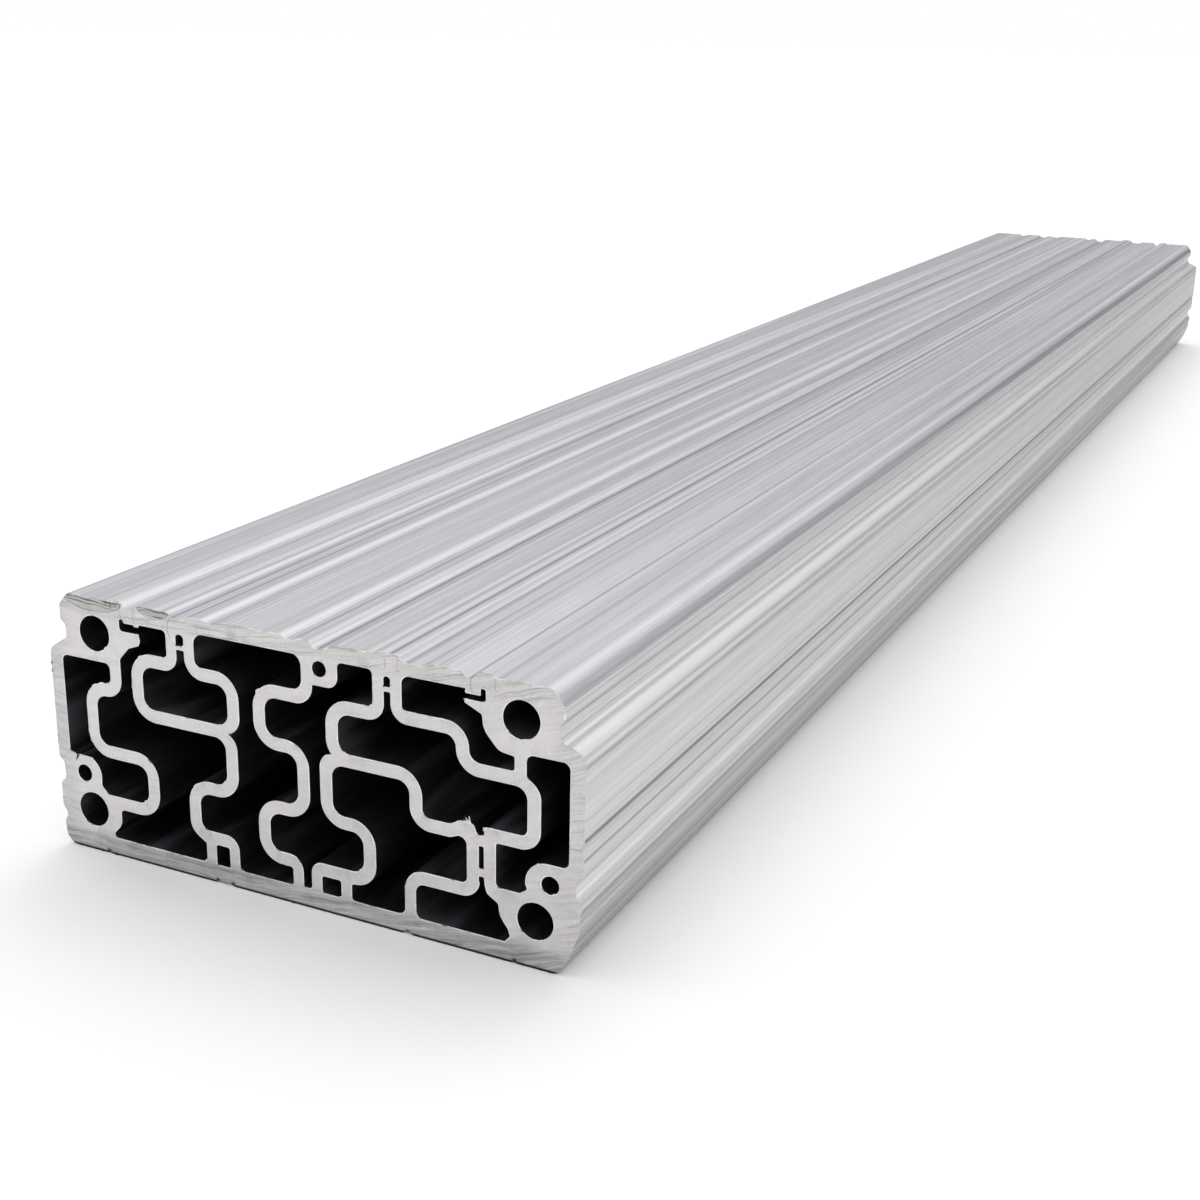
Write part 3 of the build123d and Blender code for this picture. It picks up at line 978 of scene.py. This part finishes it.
# %% [markdown]
# ## The chambers
# No light reaches far into a chamber more than six times as long as the bar is wide, so from
# outside it reads nearly black, with a faint cold sheen on its walls near the two mouths. Light
# that bounces about in there would take long to render, so that shade is painted: the wall is a
# dark, dull coat with the same streaks, and the cold sheen near the mouths is a painted sheen.

# %% Chamber wall
# The chamber's near-black tone is painted shade; its cold tint and the patches near the mouths are
# a painted sheen.
CHAMBER_TONE = 0.008
CHAMBER_COLD = (0.92, 0.98, 1.1)
MOUTH = (290.0, 356.0)
MOUTH_GLOW = (0.48, 0.72, 0.055)


def chamber_wall():
    material = bpy.data.materials.new("chamber_wall")
    bench = Bench(material)
    spot, x, y, z = bench.place()
    streak = bench.noise(spot, 1.6, 200.0, shift=5.5)
    cloud = bench.noise(spot, 7.0, 40.0, shift=8.8)
    low, high, gain = MOUTH_GLOW
    # A painted sheen in patches, only near the two mouths.
    glow = 0.004 + cloud.above(low, high) * gain
    tone = CHAMBER_TONE + y.size().above(*MOUTH) * glow + streak.swing(0.02)
    bench.principled(
        {
            "Base Color": bench.tinted(tone, CHAMBER_COLD),
            "Roughness": 0.5 + streak.swing(0.1),
            "Specular IOR Level": 0.05,
        }
    )
    return material


# %% [markdown]
# ## Fresh metal
# A burr is torn metal with no skin of oxide yet, so it shines more than the rest and is uneven up
# close.

# %% Burr metal
FRESH_TONE = 0.97
FRESH_TINT = (1.0, 0.995, 0.99)


def fresh_metal():
    material = bpy.data.materials.new("fresh_metal")
    bench = Bench(material)
    spot, x, y, z = bench.place()
    grain = bench.noise(spot, 0.25, 0.25, shift=2.2)
    bench.principled(
        {
            "Base Color": bench.tinted(FRESH_TONE + grain.swing(0.06), FRESH_TINT),
            "Metallic": 0.8,
            "Roughness": 0.34 + grain.swing(0.3),
        }
    )
    return material


# %% Hand out the finishes
for made in (sawn_face(), mill_finish_and_painted_light(), chamber_wall()):
    bar_mesh.materials.append(made)
burr_mesh.materials.append(fresh_metal())
print("finishes:", [m.name for m in bpy.data.materials])

# %% [markdown]
# ## The studio
# The bar lies on a white floor that runs on to a white horizon. Metal shows little but what stands
# round it, so the sky does most of the work: it is white at the horizon, grey just above it and
# bright overhead, and the grey band is what gives the grooves their shade. Two soft lamps light the
# floor and cast the shadow at the front and right. Rough metal would mirror them as a glare, so
# they are kept out of reflections.

# %% Floor
FLOOR_REACH = 40.0
FLOOR_WHITE = (0.97, 0.97, 0.97, 1.0)

turns = [(-1, -1), (1, -1), (1, 1), (-1, 1)]
floor_corners = [(FLOOR_REACH * a, FLOOR_REACH * b, 0.0) for a, b in turns]
floor_mesh = bpy.data.meshes.new("floor")
floor_mesh.from_pydata(floor_corners, [], [(0, 1, 2, 3)])
floor = bpy.data.objects.new("floor", floor_mesh)
bpy.context.scene.collection.objects.link(floor)

floor_paint = bpy.data.materials.new("floor_paint")
bench = Bench(floor_paint)
bench.finish(bench.add("ShaderNodeBsdfDiffuse", None, {"Color": FLOOR_WHITE}))
floor_mesh.materials.append(floor_paint)
print("floor in metres:", 2 * FLOOR_REACH, "square")

# %% Sky
HORIZON = (1.0, 1.0, 1.0, 1.0)
LOW_SKY = (0.34, 0.34, 0.355, 1.0)
MID_SKY = (0.86, 0.86, 0.87, 1.0)
HIGH_SKY = (0.92, 0.92, 0.93, 1.0)
LOW_RISE = (0.020, 0.075)
MID_RISE = (0.11, 0.36)
HIGH_RISE = (0.46, 0.78)

world = bpy.data.worlds.new("studio")
bpy.context.scene.world = world
bench = Bench(world)
direction = bench.add("ShaderNodeTexCoord", output=0)
up = bench.add("ShaderNodeSeparateXYZ", None, {0: direction}, output=2)
sky = bench.mix(up.above(*LOW_RISE), HORIZON, LOW_SKY)
sky = bench.mix(up.above(*MID_RISE), sky, MID_SKY)
sky = bench.mix(up.above(*HIGH_RISE), sky, HIGH_SKY)
background = bench.add("ShaderNodeBackground", None, {"Color": sky, "Strength": 1.0})
bench.finish(background, "ShaderNodeOutputWorld")
print("nodes in the sky:", len(bench.tree.nodes))

# %% Lamps
def soft_sun(name, towards, spread, strength):
    """A lamp so far away that it lights all of the floor alike: a round softbox that is seen spread
    degrees wide. Reflections don't show it."""
    data = bpy.data.lights.new(name, "SUN")
    data.angle, data.energy = math.radians(spread), strength
    lamp = bpy.data.objects.new(name, data)
    lamp.rotation_euler = Vector(towards).to_track_quat("Z", "Y").to_euler()
    lamp.visible_glossy = False
    bpy.context.scene.collection.objects.link(lamp)


soft_sun("back_softbox", towards=(-0.05, 0.66, 0.75), spread=40.0, strength=0.42)
soft_sun("left_softbox", towards=(-0.35, 0.10, 0.93), spread=60.0, strength=0.56)

# %% [markdown]
# ## The camera
# The view was worked out from the corners of the sawn face, whose size is known: the place of the
# camera and its three axes follow from how those corners fall in the picture.

# %% Camera
SENSOR = 36.0
CLIP = (0.02, 200.0)
LENS = 51.10
EYE = Vector((0.1623, -0.5826, 0.1484))
RIGHT = Vector((0.9006, 0.4342, 0.0199)).normalized()
BACK = Vector((0.4065, -0.8577, 0.3147)).normalized()

up_axis = BACK.cross(RIGHT).normalized()
side_axis = up_axis.cross(BACK)
lens = bpy.data.cameras.new("view")
lens.sensor_width, lens.lens = SENSOR, LENS
lens.clip_start, lens.clip_end = CLIP
camera = bpy.data.objects.new("view", lens)
turned = Matrix((side_axis, up_axis, BACK)).transposed().to_4x4()
camera.matrix_world = Matrix.Translation(EYE) @ turned
bpy.context.scene.collection.objects.link(camera)
bpy.context.scene.camera = camera
bpy.context.scene.view_settings.view_transform = "Standard"
print("camera at:", [round(v, 3) for v in EYE], "lens:", LENS)

# %% The end: bring the scene up to date
bpy.context.view_layer.update()
